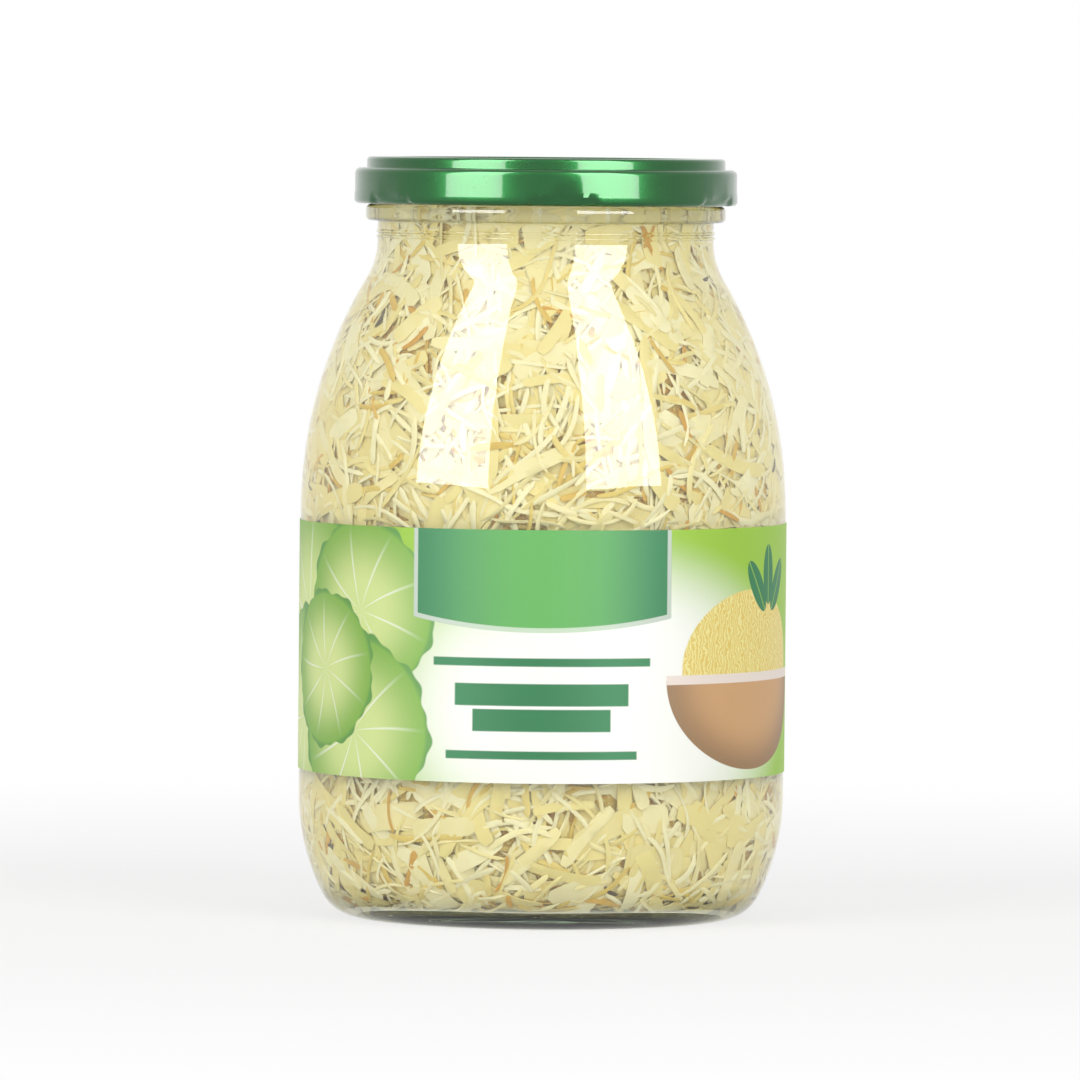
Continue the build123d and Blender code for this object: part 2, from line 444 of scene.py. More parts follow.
class Value:
    """A socket that carries a number, with the operators of ordinary maths."""

    def __init__(self, tree, socket):
        self.tree = tree
        self.socket = socket

    def maths(self, operation, *others):
        """A Math node on this value and others."""
        sockets = dict(enumerate((self, *others)))
        return self.tree.node("Math", {"operation": operation}, sockets)

    def __add__(self, other):
        return self.maths("ADD", other)

    def __sub__(self, other):
        return self.maths("SUBTRACT", other)

    def __mul__(self, other):
        return self.maths("MULTIPLY", other)

    def __truediv__(self, other):
        return self.maths("DIVIDE", other)

    def __pow__(self, other):
        return self.maths("POWER", other)

    def __rsub__(self, other):
        return self.tree.node("Math", {"operation": "SUBTRACT"}, {0: other, 1: self})

    __radd__ = __add__

    def __abs__(self):
        return self.maths("ABSOLUTE")

    def sin(self):
        """The sine."""
        return self.maths("SINE")

    def most(self, other):
        """The larger of two values."""
        return self.maths("MAXIMUM", other)

    def edge(self, low, high):
        """0 below low and 1 above high, smooth between; turned round where low is the larger."""
        if low > high:
            return 1.0 - self.edge(high, low)
        sockets = {"Value": self, "From Min": low, "From Max": high}
        return self.tree.node("MapRange", {"interpolation_type": "SMOOTHSTEP"}, sockets)


class Tree:
    """The nodes of a material, or of a world."""

    def __init__(self, name, owner=None):
        self.owner = owner or bpy.data.materials.new(name)
        self.owner.use_nodes = True
        self.nodes = self.owner.node_tree.nodes
        self.links = self.owner.node_tree.links
        self.nodes.clear()

    def put(self, node, key, value):
        """Sets or links one input socket."""
        socket = node.inputs[key]
        if isinstance(value, Value):
            self.links.new(value.socket, socket)
        elif isinstance(value, bpy.types.NodeSocket):
            self.links.new(value, socket)
        elif hasattr(socket, "default_value") and socket.type == "RGBA":
            socket.default_value = (*value, 1.0)
        else:
            socket.default_value = value

    def node(self, kind, settings=None, sockets=None, out=0):
        """Adds a node: its settings first, then the values or links of its sockets."""
        node = self.nodes.new("ShaderNode" + kind)
        for key, value in (settings or {}).items():
            if key == "stops":
                self.stops(node.color_ramp, value)
            else:
                setattr(node, key, value)
        for key, value in (sockets or {}).items():
            self.put(node, key, value)
        return Value(self, node.outputs[out])

    def stops(self, ramp, stops):
        """Sets a colour ramp's stops from (place, colour) pairs."""
        while len(ramp.elements) < len(stops):
            ramp.elements.new(0.5)
        for element, (place, shade) in zip(ramp.elements, stops):
            element.position = place
            element.color = (*shade, 1.0)

    def mix(self, factor, first, second, blend="MIX"):
        """One colour over another."""
        settings = {"data_type": "RGBA", "blend_type": blend, "clamp_factor": True}
        return self.node("Mix", settings, {0: factor, 6: first, 7: second}, out=2)

    def place(self):
        """The point's place on the piece."""
        return self.node("TexCoord", out=3)

    def apart(self, vector):
        """The three parts of a vector."""
        node = self.nodes.new("ShaderNodeSeparateXYZ")
        self.put(node, 0, vector)
        return [Value(self, socket) for socket in node.outputs]

    def noise(self, vector, scale, detail=3.0, roughness=0.5, distortion=0.0):
        """Soft noise from 0 to 1."""
        sockets = {"Vector": vector, "Scale": scale, "Detail": detail, "Roughness": roughness}
        return self.node("TexNoise", None, {**sockets, "Distortion": distortion})

    def bump(self, height, strength, distance):
        """A normal from a height."""
        sockets = {"Height": height, "Strength": strength, "Distance": distance}
        return self.node("Bump", None, sockets)

    def surface(self, sockets):
        """A Principled shader."""
        return self.node("BsdfPrincipled", None, sockets)

    def rays(self, *kinds):
        """1 on rays of these kinds, and 0 on the others."""
        path = self.nodes.new("ShaderNodeLightPath")
        seen, *others = (Value(self, path.outputs[f"Is {kind} Ray"]) for kind in kinds)
        for other in others:
            seen = seen.most(other)
        return seen

    def lets_light_in(self, shader):
        """Lets lamps and soft light pass straight through, so that they light what is inside."""
        clear = self.node("BsdfTransparent", None, {"Color": (1, 1, 1)})
        sockets = {0: self.rays("Shadow", "Diffuse"), 1: shader, 2: clear}
        return self.node("MixShader", None, sockets)

    def done(self, shader, volume=None, kind="Material"):
        """Joins the shader to the output and returns the material or world."""
        output = self.nodes.new("ShaderNodeOutput" + kind)
        self.put(output, "Surface", shader)
        if volume is not None:
            self.put(output, "Volume", volume)
        return self.owner


# ---------------------------------------------------------------- materials


def glass_material():
    """Clear glass with a breath of green, and the faint waves of a moulded wall."""
    tree = Tree("jar_glass")
    waves = tree.noise(tree.place(), 45.0, 2.0)
    shader = tree.surface({
        "Base Color": (1.0, 1.0, 1.0),
        "Roughness": 0.0,
        "IOR": 1.5,
        "Transmission Weight": 1.0,
        "Normal": tree.bump(waves, 0.12, 0.0006),
    })
    tint = tree.node("VolumeAbsorption", None, {"Color": (0.5, 0.86, 0.68), "Density": 10.0})
    return tree.done(tree.lets_light_in(shader), tint)


def brine_material():
    """Clear pale brine."""
    tree = Tree("brine")
    shader = tree.surface({
        "Base Color": (1.0, 0.97, 0.8),
        "Roughness": 0.0,
        "IOR": 1.34,
        "Transmission Weight": 1.0,
    })
    return tree.done(tree.lets_light_in(shader))


def core_material(colours):
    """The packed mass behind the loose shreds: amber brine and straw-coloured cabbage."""
    tree = Tree("packed_core")
    place = tree.place()
    patches = tree.noise(place, 160.0, 4.0, 0.6, 1.5)
    fibres = tree.noise(place, 900.0, 3.0, 0.6, 2.0)
    shade = tree.mix(patches.edge(0.38, 0.62), colours.amber, colours.straw)
    shade = tree.mix(fibres.edge(0.45, 0.7), shade, colours.cream)
    return tree.done(tree.surface({
        "Base Color": shade,
        "Roughness": 0.5,
        "Specular IOR Level": 0.1,
        "Normal": tree.bump(fibres, 0.8, 0.0008),
    }))


def shred_material(name, stops, streak):
    """Wet cabbage: its tone runs from stop to stop by shred, with fibres along it."""
    tree = Tree(name)
    tone, along, _ = tree.apart(tree.node("UVMap"))
    grain = tree.node("CombineXYZ", None, {0: tone * 90.0, 1: along * 5.0})
    fibres = tree.noise(grain, 1.0, 3.0)
    shade = tree.node("ValToRGB", {"stops": stops}, {0: tone + (fibres - 0.5) * streak})
    return tree.done(tree.surface({
        "Base Color": shade,
        "Roughness": 0.45,
        "Specular IOR Level": 0.12,
    }))


def seed_material(colours):
    """A dark ribbed seed."""
    tree = Tree("caraway")
    tone, along, _ = tree.apart(tree.node("UVMap"))
    ribs = tree.noise(tree.node("CombineXYZ", None, {0: tone * 40.0, 1: along * 3.0}), 1.0, 2.0)
    shade = tree.mix(ribs, colours.seed, tuple(c * 0.45 for c in colours.seed))
    return tree.done(tree.surface({
        "Base Color": shade,
        "Roughness": 0.5,
        "Specular IOR Level": 0.2,
    }))


def lid_material(colours):
    """Green metallic lacquer on pressed steel, with an orange-peel skin and light scuffs."""
    tree = Tree("lid_lacquer")
    place = tree.place()
    peel = tree.noise(place, 1800.0, 2.0)
    cloud = tree.noise(place, 60.0, 3.0)
    scuffs = tree.noise(place, 420.0, 6.0, 0.75).edge(0.62, 0.72)
    dark = tuple(c * 0.72 for c in colours.lacquer)
    return tree.done(tree.surface({
        "Base Color": tree.mix(cloud, dark, colours.lacquer),
        "Metallic": 0.75,
        "Roughness": 0.27 + scuffs * 0.07,
        "Coat Weight": 0.7,
        "Coat Roughness": 0.06,
        "Normal": tree.bump(peel, 0.08, 0.0001),
    }))


def label_material(sizes, colours):
    """The print: a lime ground, a dark panel, leaves on one side and a heaped bowl on the other."""
    tree = Tree("label_print")
    across, up, _ = tree.apart(tree.node("UVMap"))
    height = (label_high.z - label_low.z) / MM
    run = (2 * pi * body_radius + sizes.lap) / MM
    u = (across - 0.5) * run
    v = up * height
    fine = tree.node("CombineXYZ", None, {0: u, 1: v})

    glow = ((u - GLOW_MIDDLE[0]) / GLOW_REACH[0]) ** 2.0
    glow = (glow + ((v - GLOW_MIDDLE[1]) / GLOW_REACH[1]) ** 2.0).edge(1.35, 0.25)
    back = abs(u).edge(96.0, 128.0)
    shade = tree.mix(glow.most(back), colours.lime, colours.white)

    shade = leaves(tree, shade, u, v, colours)
    shade = bowl(tree, shade, u, v, fine, colours)

    half = sizes.panel_half / MM
    foot = height - sizes.panel_drop / MM + (u / half) ** 2.0 * 3.0
    panel = (half - abs(u)).edge(-0.15, 0.15) * (v - foot).edge(-0.15, 0.15)
    keyline = (half - abs(u)).edge(0.9, 1.1) * (v - foot).edge(0.9, 1.1)
    keyline = panel * (1.0 - keyline)
    ground = tree.mix((abs(u) / half).edge(0.1, 0.95), colours.mid, colours.deep)
    shade = tree.mix(panel, shade, ground)
    shade = tree.mix(keyline * 0.55, shade, colours.white)

    for middle, rule, reach in BARS:
        bar = abs(v - middle).edge(rule + 0.15, rule - 0.15)
        bar = bar * abs(u).edge(reach + 0.2, reach - 0.2)
        shade = tree.mix(bar, shade, colours.deep)

    grain = tree.noise(fine, 3.0, 4.0, 0.7)
    shade = tree.mix(0.06, shade, tree.mix(grain, (0, 0, 0), (1, 1, 1)), "OVERLAY")
    return tree.done(tree.surface({
        "Base Color": shade,
        "Roughness": 0.42 + grain * 0.1,
        "Normal": tree.bump(grain, 0.15, 0.0001),
    }))


def leaves(tree, shade, u, v, colours):
    """Overlapping round leaves with pale ribs."""
    for middle_u, middle_v, reach, turn in LEAVES:
        x = u - middle_u
        y = v - middle_v
        far = (x * x + y * y) ** 0.5 / reach
        spoke = y.maths("ARCTAN2", x)
        frill = (spoke * 9.0 + turn).sin() * 0.03 + (spoke * 23.0).sin() * 0.015
        inside = (far + frill).edge(1.01, 0.99)
        rib = abs((spoke * 4.5 + turn + far * 0.6).sin())
        rib = rib.edge(0.16, 0.04) * far.edge(1.0, 0.25)
        body = tree.mix(far.edge(0.25, 1.0), colours.leaf_pale, colours.leaf)
        body = tree.mix(rib * 0.8, body, colours.white)
        body = tree.mix(far.edge(0.93, 1.0) * 0.5, body, colours.deep)
        shade = tree.mix(inside, shade, body)
    return shade


def bowl(tree, shade, u, v, fine, colours):
    """A plain bowl with a heap of shreds, and three small leaves over it."""
    x = u - BOWL_MIDDLE
    heap_far = (x / HEAP_REACH[0]) ** 2.0 + ((v - HEAP_MIDDLE) / HEAP_REACH[1]) ** 2.0
    strands = tree.node("TexWave", {"wave_profile": "SIN"}, {
        "Vector": fine, "Scale": 0.35, "Distortion": 14.0, "Detail": 3.0, "Detail Scale": 1.2,
    })
    heap = tree.mix(strands.edge(0.25, 0.75), colours.straw, colours.mound)
    shade = tree.mix(heap_far.edge(1.02, 0.98) * (v - 20.0).edge(-0.2, 0.2), shade, heap)
    bowl_far = (x / BOWL_REACH[0]) ** 2.0 + ((v - BOWL_TOP) / BOWL_REACH[1]) ** 2.0
    inside = bowl_far.edge(1.01, 0.99) * (BOWL_TOP - v).edge(-0.2, 0.2)
    shadow = tuple(c * 0.5 for c in colours.tan)
    body = tree.mix(bowl_far.edge(0.2, 1.0), colours.tan, shadow)
    shade = tree.mix(inside, shade, body)
    rim = abs(v - BOWL_TOP).edge(1.1, 0.9)
    rim = rim * abs(x).edge(BOWL_REACH[0] + 0.2, BOWL_REACH[0] - 0.2)
    shade = tree.mix(rim, shade, tuple(0.6 + 0.4 * c for c in colours.tan))
    for lean in (-0.6, 0.0, 0.6):
        away = x - 8.0 - lean * 9.0
        rise = v - 44.0 + abs(lean * 4.0)
        along = away * sin(lean) + rise * cos(lean)
        over = away * cos(lean) - rise * sin(lean)
        leaf = ((along / 6.5) ** 2.0 + (over / 2.6) ** 2.0).edge(1.05, 0.95)
        shade = tree.mix(leaf, shade, colours.deep)
        shade = tree.mix(leaf * abs(over).edge(0.3, 0.1), shade, colours.leaf)
    return shade


# ---------------------------------------------------------------- pieces


class JAR_OT_glass(bpy.types.Operator):
    """Turns the hollow glass jar, with its rings, bead, thread ridges and rim"""

    bl_idname = "jar.glass"
    bl_label = "Glass"

    def execute(self, context):
        sizes = context.scene.jar_glass
        curves = Curves(sizes)
        centre, _ = curves.corner(0, 0, sizes.foot_curve)
        land = (centre[0] - sizes.foot_land, 0)
        section = Section("jar_glass", 0, sizes.push_up)
        dome = dome_centre(land, sizes.push_up)
        section.arc(dome, -dome_angle(land, sizes.push_up), DOME_STEPS)
        section.line(centre[0], 0)
        curves.climb(section, 0, 0, sizes.foot_curve)
        self.draw_finish(section, curves)
        floor_corner, _ = curves.corner(wall, floor_height, sizes.floor_corner)
        floor_edge = (floor_corner[0], floor_height)
        curves.descend(section, wall, floor_height, sizes.floor_corner)
        dome = dome_centre(floor_edge, sizes.floor_rise)
        section.arc(dome, dome_angle(floor_edge, sizes.floor_rise), DOME_STEPS)
        piece = section.turned(sizes.turn_steps)
        self.raise_threads(piece, sizes, context.scene.jar_lid.lug_count)
        finish_piece(piece, glass_material())
        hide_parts("glass_jar")
        return {"FINISHED"}

    def draw_finish(self, section, curves):
        """Draws the neck's rings, the bead, the wall that the lid grips and the rim."""
        sizes = curves.sizes
        neck = sizes.neck_radius
        finish = neck + sizes.finish_step
        bead_bottom = curves.neck_bottom + sizes.neck_length
        bead_top = bead_bottom + sizes.bead_height
        ridge = rim_top - sizes.thread_bottom
        points = []
        for i in range(sizes.ring_count):
            middle = curves.neck_bottom + sizes.ring_start + i * sizes.ring_pitch
            half = sizes.ring_width / 2
            points += [
                (neck, middle - half, 0),
                (neck + sizes.ring_height, middle - half / 3, 0.1 * MM),
                (neck + sizes.ring_height, middle + half / 3, 0.1 * MM),
                (neck, middle + half, 0),
            ]
        points += [
            (neck, bead_bottom, 0.5 * MM),
            (neck + sizes.bead_depth, bead_bottom, sizes.bead_round),
            (neck + sizes.bead_depth, bead_top, sizes.bead_round),
            (finish, bead_top, 0),
            (finish, ridge, 0),
            (finish, ridge + 0.3 * sizes.thread_height, 0),
            (finish, ridge + 0.7 * sizes.thread_height, 0),
            (finish, ridge + sizes.thread_height, 0),
            (finish, rim_top, sizes.rim_round),
            (curves.mouth, rim_top, sizes.rim_round),
            (curves.mouth, curves.neck_bottom, 0),
        ]
        section.route(points)

    def raise_threads(self, piece, sizes, ridges):
        """Draws the middle of the finish out into thread ridges."""
        places = points_of(piece.data)
        finish = sizes.neck_radius + sizes.finish_step
        far = np.hypot(places[:, 0], places[:, 1])
        low = rim_top - sizes.thread_bottom
        middle = np.abs(places[:, 2] - low - sizes.thread_height / 2) < 0.25 * sizes.thread_height
        around = off_mark(places, ridges, sizes.lug_turn)
        shape = np.clip((sizes.thread_span / 2 - np.abs(around)) / radians(3.0), 0, 1)
        raised = middle & (np.abs(far - finish) < 0.01 * MM)
        out = 1 + shape * sizes.thread_depth / finish * raised
        places[:, :2] *= out[:, None]
        move_points(piece.data, places)


class JAR_OT_lid(bpy.types.Operator):
    """Presses the lid from one sheet, rolls its edge and presses in the lugs"""

    bl_idname = "jar.lid"
    bl_label = "Lid"

    def execute(self, context):
        sizes = context.scene.jar_lid
        glass = context.scene.jar_glass
        half = sizes.sheet / 2
        top = lid_top - half
        panel = top - sizes.panel_drop
        inner = sizes.channel_inner - half
        outer = sizes.channel_outer - half
        skirt = skirt_radius - half - sizes.curl_bulge
        curl = sizes.curl_radius
        low = lid_bottom + half + curl
        bent = sizes.sheet_round
        section = Section("lid", 0, panel + sizes.button_rise)
        section.route([
            (sizes.button_radius, panel + sizes.button_rise, bent),
            (sizes.button_radius + sizes.button_slope, panel, bent),
            (inner, panel, bent),
            (inner, top, bent),
            (outer, top, bent),
            (outer, top - sizes.step_drop, bent / 2),
            (skirt, top - sizes.step_drop, sizes.shoulder_round),
            (skirt, low + 2.4 * curl, 0),
            (skirt + sizes.curl_bulge, low + 1.2 * curl, 0),
            (skirt + sizes.curl_bulge, low, 0),
        ])
        section.arc((skirt + sizes.curl_bulge - curl, low), -sizes.curl_turn, CURL_STEPS)
        piece = section.turned(glass.turn_steps * 2)
        self.press_lugs(piece, sizes, glass.lug_turn)
        thicken(piece, "sheet", sizes.sheet)
        finish_piece(piece, lid_material(context.scene.jar_colours))
        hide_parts("lid")
        return {"FINISHED"}

    def press_lugs(self, piece, sizes, turn):
        """Presses the rolled edge in at each lug, and leaves an arched dent outside it."""
        places = points_of(piece.data)
        far = np.hypot(places[:, 0], places[:, 1])
        around = off_mark(places, sizes.lug_count, turn) * skirt_radius
        rise = places[:, 2] - lid_bottom
        arch = 1 - (2 * around / sizes.dent_width) ** 2 - (rise / sizes.dent_rise) ** 2
        dent = np.clip(arch / 0.35, 0, 1)
        dent = dent * dent * (3 - 2 * dent)
        lug = np.clip((sizes.lug_width / 2 - np.abs(around)) / MM, 0, 1)
        low = rise < 2.5 * sizes.curl_radius
        inner = low & (far < skirt_radius - 1.2 * sizes.curl_radius)
        push = np.where(inner, lug * sizes.lug_reach, dent * sizes.dent_depth)
        push = np.where(far > skirt_radius - 3 * MM, push, 0)
        places[:, :2] *= ((far - push) / np.maximum(far, MM))[:, None]
        move_points(piece.data, places)


class JAR_OT_label(bpy.types.Operator):
    """Wraps the paper label round the jar and laps its ends at the back"""

    bl_idname = "jar.label"
    bl_label = "Label"

    def execute(self, context):
        sizes = context.scene.jar_label
        deselect()
        bpy.ops.mesh.primitive_grid_add(
            x_subdivisions=260, y_subdivisions=10, size=1, calc_uvs=True,
        )
        piece = context.object
        piece.name = "label"
        piece.data.name = "label"
        flat = points_of(piece.data)
        run = 2 * pi * body_radius + sizes.lap
        along = flat[:, 0] * run
        ease = np.clip((along - run / 2 + 1.25 * sizes.lap) / (0.25 * sizes.lap), 0, 1)
        far = body_radius + paper * 0.5 + paper * ease * ease * (3 - 2 * ease)
        around = along / body_radius - pi / 2
        height = label_low.z + (flat[:, 1] + 0.5) * (label_high.z - label_low.z)
        move_points(piece.data, np.stack([far * np.cos(around), far * np.sin(around), height], 1))
        thicken(piece, "paper", paper * 0.98)
        finish_piece(piece, label_material(sizes, context.scene.jar_colours))
        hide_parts("label")
        return {"FINISHED"}


class JAR_OT_brine(bpy.types.Operator):
    """Fills the jar with brine that meets the glass"""

    bl_idname = "jar.brine"
    bl_label = "Brine"

    def execute(self, context):
        sizes = context.scene.jar_glass
        inset = wall - BRINE_OVERLAP
        piece = filling("brine", sizes, inset, floor_height - BRINE_OVERLAP, fill_top)
        finish_piece(piece, brine_material())
        return {"FINISHED"}


def filling(name, sizes, inset, base, top):
    """A solid that fills the jar up to a height, set in from the outside of the glass."""
    curves = Curves(sizes)
    centre, _ = curves.corner(inset, base, sizes.floor_corner)
    edge = (centre[0], base)
    section = Section(name, 0, base + sizes.floor_rise)
    dome = dome_centre(edge, sizes.floor_rise)
    section.arc(dome, -dome_angle(edge, sizes.floor_rise), FILL_DOME_STEPS)
    curves.climb(section, inset, base, sizes.floor_corner, top)
    section.line(0, top)
    return section.turned(sizes.turn_steps)


class Wall:
    """The inside of the glass as a line from the floor to the brine's top, by distance along it."""

    def __init__(self, sizes):
        curves = Curves(sizes)
        centre, lean = curves.corner(wall, floor_height, sizes.floor_corner)
        edge = (centre[0], floor_height)
        points = [(0.0, floor_height + sizes.floor_rise)]
        dome = dome_centre(edge, sizes.floor_rise)
        turn = dome_angle(edge, sizes.floor_rise)
        reach = hypot(edge[0] - dome[0], edge[1] - dome[1])
        arcs = [
            (dome, reach, pi / 2, pi / 2 - turn),
            (centre, sizes.floor_corner, -pi / 2, lean),
            (curves.heel, sizes.heel_curve - wall, lean, 0),
            (curves.shoulder, sizes.shoulder_curve - wall, 0, curves.lean),
            (curves.neck, sizes.neck_curve + wall, pi + curves.lean, pi),
        ]
        for middle, radius, start, end in arcs:
            for step in range(WALL_STEPS + 1):
                lean = start + (end - start) * step / WALL_STEPS
                points.append((middle[0] + radius * cos(lean), middle[1] + radius * sin(lean)))
        points.append((curves.mouth, fill_top))
        line = np.array(points)
        gaps = np.hypot(*np.diff(line, axis=0).T)
        line = line[np.concatenate([[True], gaps > 1e-6])]
        self.run = np.concatenate([[0], np.cumsum(np.hypot(*np.diff(line, axis=0).T))])
        self.along = np.linspace(0, self.run[-1], WALL_SAMPLES)
        self.radius = np.interp(self.along, self.run, line[:, 0])
        self.height = np.interp(self.along, self.run, line[:, 1])
        step_r, step_z = np.gradient(self.radius), np.gradient(self.height)
        size = np.hypot(step_r, step_z)
        self.out_r, self.out_z = step_z / size, -step_r / size

    def at(self, values, along):
        """One of the wall's arrays at distances along it."""
        return np.interp(along, self.along, values)

    def put(self, around, along, depth):
        """Points at an angle round the jar, a distance along the wall and a depth behind it."""
        along = np.clip(along, 0, self.run[-1])
        far = self.at(self.radius, along) - depth * self.at(self.out_r, along)
        height = self.at(self.height, along) - depth * self.at(self.out_z, along)
        return np.stack([far * np.cos(around), far * np.sin(around), height], -1)


def strip(name, sides, cuts, taper):
    """A strip one unit long, wide and thick, cut across along its length, with tapered ends."""
    deselect()
    bpy.ops.mesh.primitive_cylinder_add(vertices=sides, radius=0.5, depth=1, end_fill_type="NGON")
    piece = bpy.context.object
    piece.name = name
    bpy.ops.object.mode_set(mode="EDIT")
    bpy.ops.mesh.select_mode(type="EDGE")
    bpy.ops.mesh.select_all(action="DESELECT")
    bpy.ops.object.mode_set(mode="OBJECT")
    places = points_of(piece.data)
    for side in piece.data.edges:
        low, high = (places[v][2] for v in side.vertices)
        side.select = abs(low - high) > 0.5
    bpy.ops.object.mode_set(mode="EDIT")
    bpy.ops.mesh.subdivide(number_cuts=cuts)
    bpy.ops.mesh.select_mode(type="VERT")
    bpy.ops.object.mode_set(mode="OBJECT")
    places = points_of(piece.data)
    narrow = np.where(np.abs(places[:, 2]) > 0.499, taper, 1.0)
    shape = np.stack([places[:, 2], places[:, 0] * narrow, places[:, 1] * narrow], 1)
    faces = [tuple(reversed(face.vertices)) for face in piece.data.polygons]
    bpy.data.meshes.remove(piece.data)
    return shape, faces


def scatter(name, wall_line, shape, faces, cuts):
    """Lays a bent copy of the shape on the wall for each cut, and joins them into one piece."""
    x = shape[None, :, 0] * cuts["length"][:, None]
    grid = np.linspace(0, 1, BEND_SAMPLES)
    steps = x[:, :, None] * grid
    heading = cuts["heading"][:, None, None] + cuts["curl"][:, None, None] * steps
    heading = heading + cuts["swerve"][:, None, None] * steps**2
    run_x = np.trapz(np.cos(heading), grid, axis=2) * x
    run_y = np.trapz(np.sin(heading), grid, axis=2) * x
    ahead = heading[:, :, -1]
    twist = cuts["tilt"][:, None] + cuts["twist"][:, None] * x
    wide = shape[None, :, 1] * cuts["width"][:, None]
    thick = shape[None, :, 2] * cuts["thick"][:, None]
    over = wide * np.cos(twist) - thick * np.sin(twist)
    out = wide * np.sin(twist) + thick * np.cos(twist)
    over_x = run_x - np.sin(ahead) * over
    over_y = run_y + np.cos(ahead) * over
    wave = cuts["weave"][:, None] * np.sin(cuts["phase"][:, None] + x / WAVE_LENGTH)
    depth = np.maximum(cuts["depth"][:, None] + wave - out, GLASS_GAP)
    here = wall_line.at(wall_line.radius, cuts["along"])
    around = cuts["around"][:, None] + over_x / here[:, None]
    places = wall_line.put(around, cuts["along"][:, None] + over_y, depth)
    copies, corners = places.shape[:2]
    mesh = bpy.data.meshes.new(name)
    starts = (np.arange(copies) * corners).tolist()
    every = [tuple(corner + start for corner in face) for start in starts for face in faces]
    mesh.from_pydata(places.reshape(-1, 3).tolist(), [], every)
    tones = np.repeat(cuts["tone"], corners)
    along = np.tile(shape[:, 0] + 0.5, copies)
    spots = np.array([loop.vertex_index for loop in mesh.loops])
    layer = mesh.uv_layers.new(name="UVMap")
    spread = np.stack([tones[spots], along[spots]], 1)
    layer.uv.foreach_set("vector", spread.astype(np.float32).ravel())
    piece = bpy.data.objects.new(name, mesh)
    bpy.context.scene.collection.objects.link(piece)
    return piece


def clear_of_label(wall_line, draw, number):
    """Distances along the wall, spread evenly by area, that leave out what the label hides."""
    weight = wall_line.radius.copy()
    hidden = wall_line.height > label_low.z + LABEL_EDGE
    hidden = hidden & (wall_line.height < label_high.z - LABEL_EDGE)
    weight[hidden & (wall_line.radius > 0.9 * (body_radius - wall))] = 0
    weight[wall_line.radius < AXIS_CLEAR] = 0
    total = np.cumsum(weight)
    return np.interp(draw.random(number) * total[-1], total, wall_line.along)


def cuts_for(wall_line, draw, number, sizes):
    """Random places, sizes and bends for a number of shreds, from (low, high) pairs."""
    cuts = {key: draw.uniform(low, high, number) for key, (low, high) in sizes.items()}
    cuts["along"] = clear_of_label(wall_line, draw, number)
    cuts["around"] = draw.uniform(0, 2 * pi, number)
    cuts["phase"] = draw.uniform(0, 2 * pi, number)
    return cuts


def ranges(length, width, thick, depth, weave, curl, swerve, tilt, twist):
    """The (low, high) ranges of a kind of shred, from sizes in millimetres and bends per metre."""
    sizes = {"length": length, "width": width, "thick": thick, "depth": depth, "weave": weave}
    return {
        **{key: (low * MM, high * MM) for key, (low, high) in sizes.items()},
        "heading": (-pi / 2, pi / 2),
        "curl": curl,
        "swerve": (-swerve, swerve),
        "tilt": (-tilt, tilt),
        "twist": (-twist, twist),
        "tone": (0.0, 1.0),
    }


# Each kind's name, strip, count, tones with their places, and ranges.
KINDS = (
    ("leaf_pieces", "broad", "flake_count", {0.0: "cream", 1.0: "pale"}, ranges(
        (8, 18), (5.0, 9.0), (0.25, 0.4), (0.6, 2.3), (0.1, 0.4), (-30, 30), 1500, 0.12, 12,
    )),
    ("pale_shreds", "fine", "fine_count", {0.0: "cream", 0.5: "pale", 1.0: "pale"}, ranges(
        (7, 20), (0.7, 1.5), (0.4, 0.7), (0.2, 1.6), (0.1, 0.5), (-90, 90), 7000, 0.5, 60,
    )),
    ("fine_shreds", "fine", "fine_count", {0.0: "straw", 0.35: "cream", 1.0: "pale"}, ranges(
        (7, 22), (0.7, 1.4), (0.4, 0.8), (0.3, 3.4), (0.1, 0.5), (-70, 70), 6000, 0.5, 60,
    )),
    ("broad_strips", "broad", "broad_count", {0.0: "cream", 0.5: "cream", 1.0: "pale"}, ranges(
        (9, 24), (2.0, 5.0), (0.3, 0.6), (0.25, 2.6), (0.1, 0.4), (-40, 40), 2500, 0.25, 25,
    )),
    ("amber_shreds", "fine", "amber_count", {0.0: "amber", 0.6: "straw", 1.0: "cream"}, ranges(
        (4, 12), (0.7, 1.8), (0.4, 0.7), (0.3, 2.2), (0.1, 0.4), (-90, 90), 6000, 0.5, 60,
    )),
)
SEEDS = ranges((3.5, 5.0), (0.9, 1.2), (0.8, 1.0), (0.35, 0.5), (0, 0), (150, 260), 0, 0.2, 0)
SCATTER_SMOOTH = 70.0


